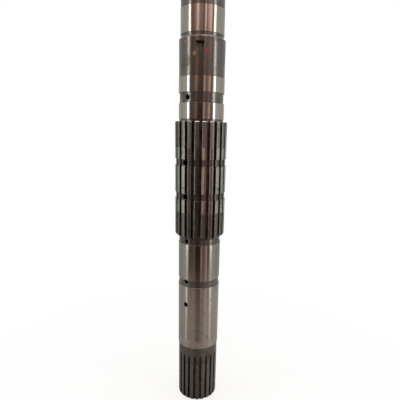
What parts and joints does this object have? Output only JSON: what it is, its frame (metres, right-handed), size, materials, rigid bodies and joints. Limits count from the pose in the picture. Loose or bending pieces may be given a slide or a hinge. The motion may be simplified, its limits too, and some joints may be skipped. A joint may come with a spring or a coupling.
{
  "type": "transmission main shaft",
  "caption": "Hollow-drilled steel transmission main shaft with ground journals, oil grooves and holes, a splined hub seat and a splined tail end.",
  "frame": {"origin": "centre of the tail end face, on the shaft's axis", "axes": "+Z along the shaft's axis from the splined tail end to the plain nose; the oil holes lie in one line at 232 degrees from +X, so they are left of the middle seen along +Y"},
  "size_m": [0.064, 0.0638, 0.53],
  "materials": {
    "shaft_steel": "case-hardened alloy steel, journals ground bright, splines and collars left dark as turned and heat treated, lightly oiled"
  },
  "bodies": {
    "root": {"main_shaft": "shaft_steel"}
  },
  "joints": []
}
